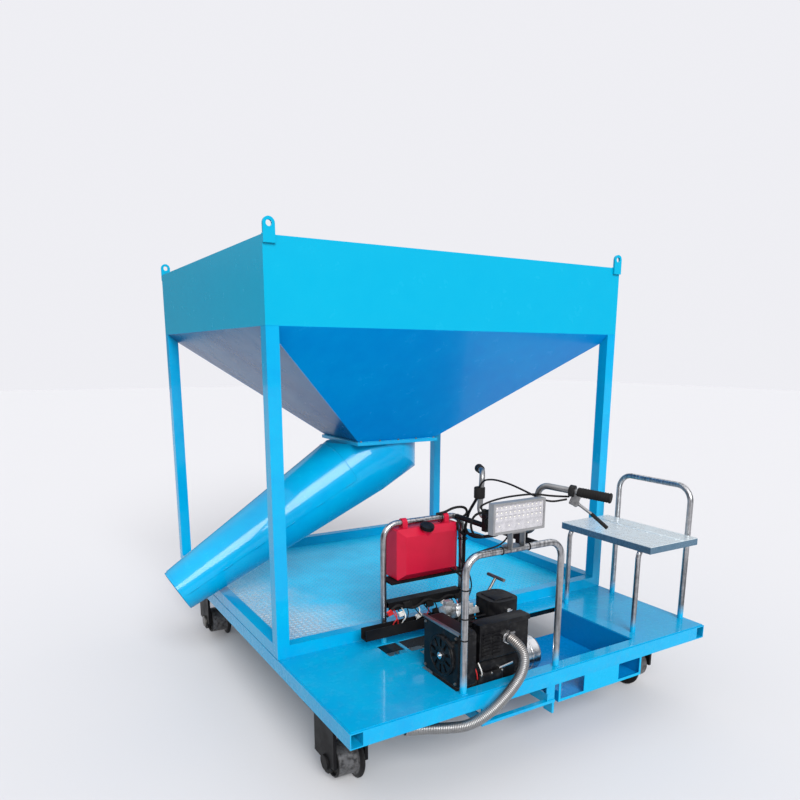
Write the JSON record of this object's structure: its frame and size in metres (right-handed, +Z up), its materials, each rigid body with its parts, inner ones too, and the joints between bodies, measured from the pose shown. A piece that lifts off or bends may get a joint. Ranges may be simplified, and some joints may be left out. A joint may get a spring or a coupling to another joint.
{
  "type": "motorised rail trolley with a detachable hopper",
  "caption": "Blue motorised rail trolley with a driver's seat, a petrol engine and a detachable four-sided hopper that empties through a side chute.",
  "frame": {"origin": "middle of the deck at the level of the wheel flanges' lowest points", "axes": "+X across the track to the seat's side, +Y along the rails from the engine end to the hopper end, +Z up"},
  "size_m": [1.9727, 2.316, 1.9629],
  "materials": {
    "blue_paint": "glossy enamel",
    "tread_steel": "worn tread plate",
    "bright_tube": "polished tube and sheet",
    "bar_steel": "plated bar",
    "black_paint": "satin",
    "wheel_steel": "painted black, bright tread",
    "axle_steel": "oiled steel",
    "red_plastic": "glossy moulding",
    "black_plastic": "matt moulding",
    "lamp_metal": "dark anodised",
    "lamp_glass": "clear",
    "black_rubber": "matt",
    "engine_black": "satin heat-proof paint",
    "drum_steel": "machined",
    "hose_steel": "ribbed flexible metal"
  },
  "bodies": {
    "trolley": {"deck_frame": "blue_paint", "front_deck_plate": "blue_paint", "footwell_tray": "blue_paint", "hopper_frame": "blue_paint", "hopper_box": "blue_paint", "hopper_cone": "blue_paint", "lifting_lugs": "blue_paint", "outlet_flange": "blue_paint", "chute_elbow": "blue_paint", "chute_pipe": "blue_paint", "chute_cover": "blue_paint", "engine_cradle": "blue_paint", "rear_tread_plate": "tread_steel", "engine_guard": "bright_tube", "tank_hoop": "bright_tube", "seat_frame": "bright_tube", "seat_plate": "bright_tube", "lamp_bracket": "bright_tube", "handlebar": "bar_steel", "brake_lever": "bar_steel", "gear_lever": "bar_steel", "bridge_bar": "black_paint", "tank_shelf": "black_paint", "handlebar_clamps": "black_paint", "wiring_rails": "black_paint", "wheel_forks": "black_paint", "front_axle_pins": "black_paint", "output_sprocket": "axle_steel", "drive_chain": "axle_steel", "fuel_tank": "red_plastic", "tank_cap": "black_plastic", "air_filter": "black_plastic", "lamp_housing": "lamp_metal", "lamp_lens": "lamp_glass", "handlebar_grips": "black_rubber", "control_cables": "black_rubber", "engine_block": "engine_black", "fan_cover": "engine_black", "gearbox": "engine_black", "muffler": "engine_black", "clutch_drum": "drum_steel", "exhaust_hose": "hose_steel"},
    "wheel_front_left": {"wheel_front_left": "wheel_steel"},
    "wheel_front_right": {"wheel_front_right": "wheel_steel"},
    "rear_wheelset": {"drive_axle": "axle_steel", "axle_sprocket": "axle_steel", "wheel_rear_left": "wheel_steel", "wheel_rear_right": "wheel_steel"}
  },
  "joints": [
    {"name": "front_left_wheel_spin", "type": "hinge", "parent": "trolley", "child": "wheel_front_left", "pos_m": [-0.7525, -0.775, 0.088], "axis": [1, 0, 0], "continuous": true},
    {"name": "front_right_wheel_spin", "type": "hinge", "parent": "trolley", "child": "wheel_front_right", "pos_m": [0.7525, -0.775, 0.088], "axis": [1, 0, 0], "continuous": true},
    {"name": "rear_wheelset_spin", "type": "hinge", "parent": "trolley", "child": "rear_wheelset", "pos_m": [0, 0.775, 0.088], "axis": [1, 0, 0], "continuous": true}
  ]
}
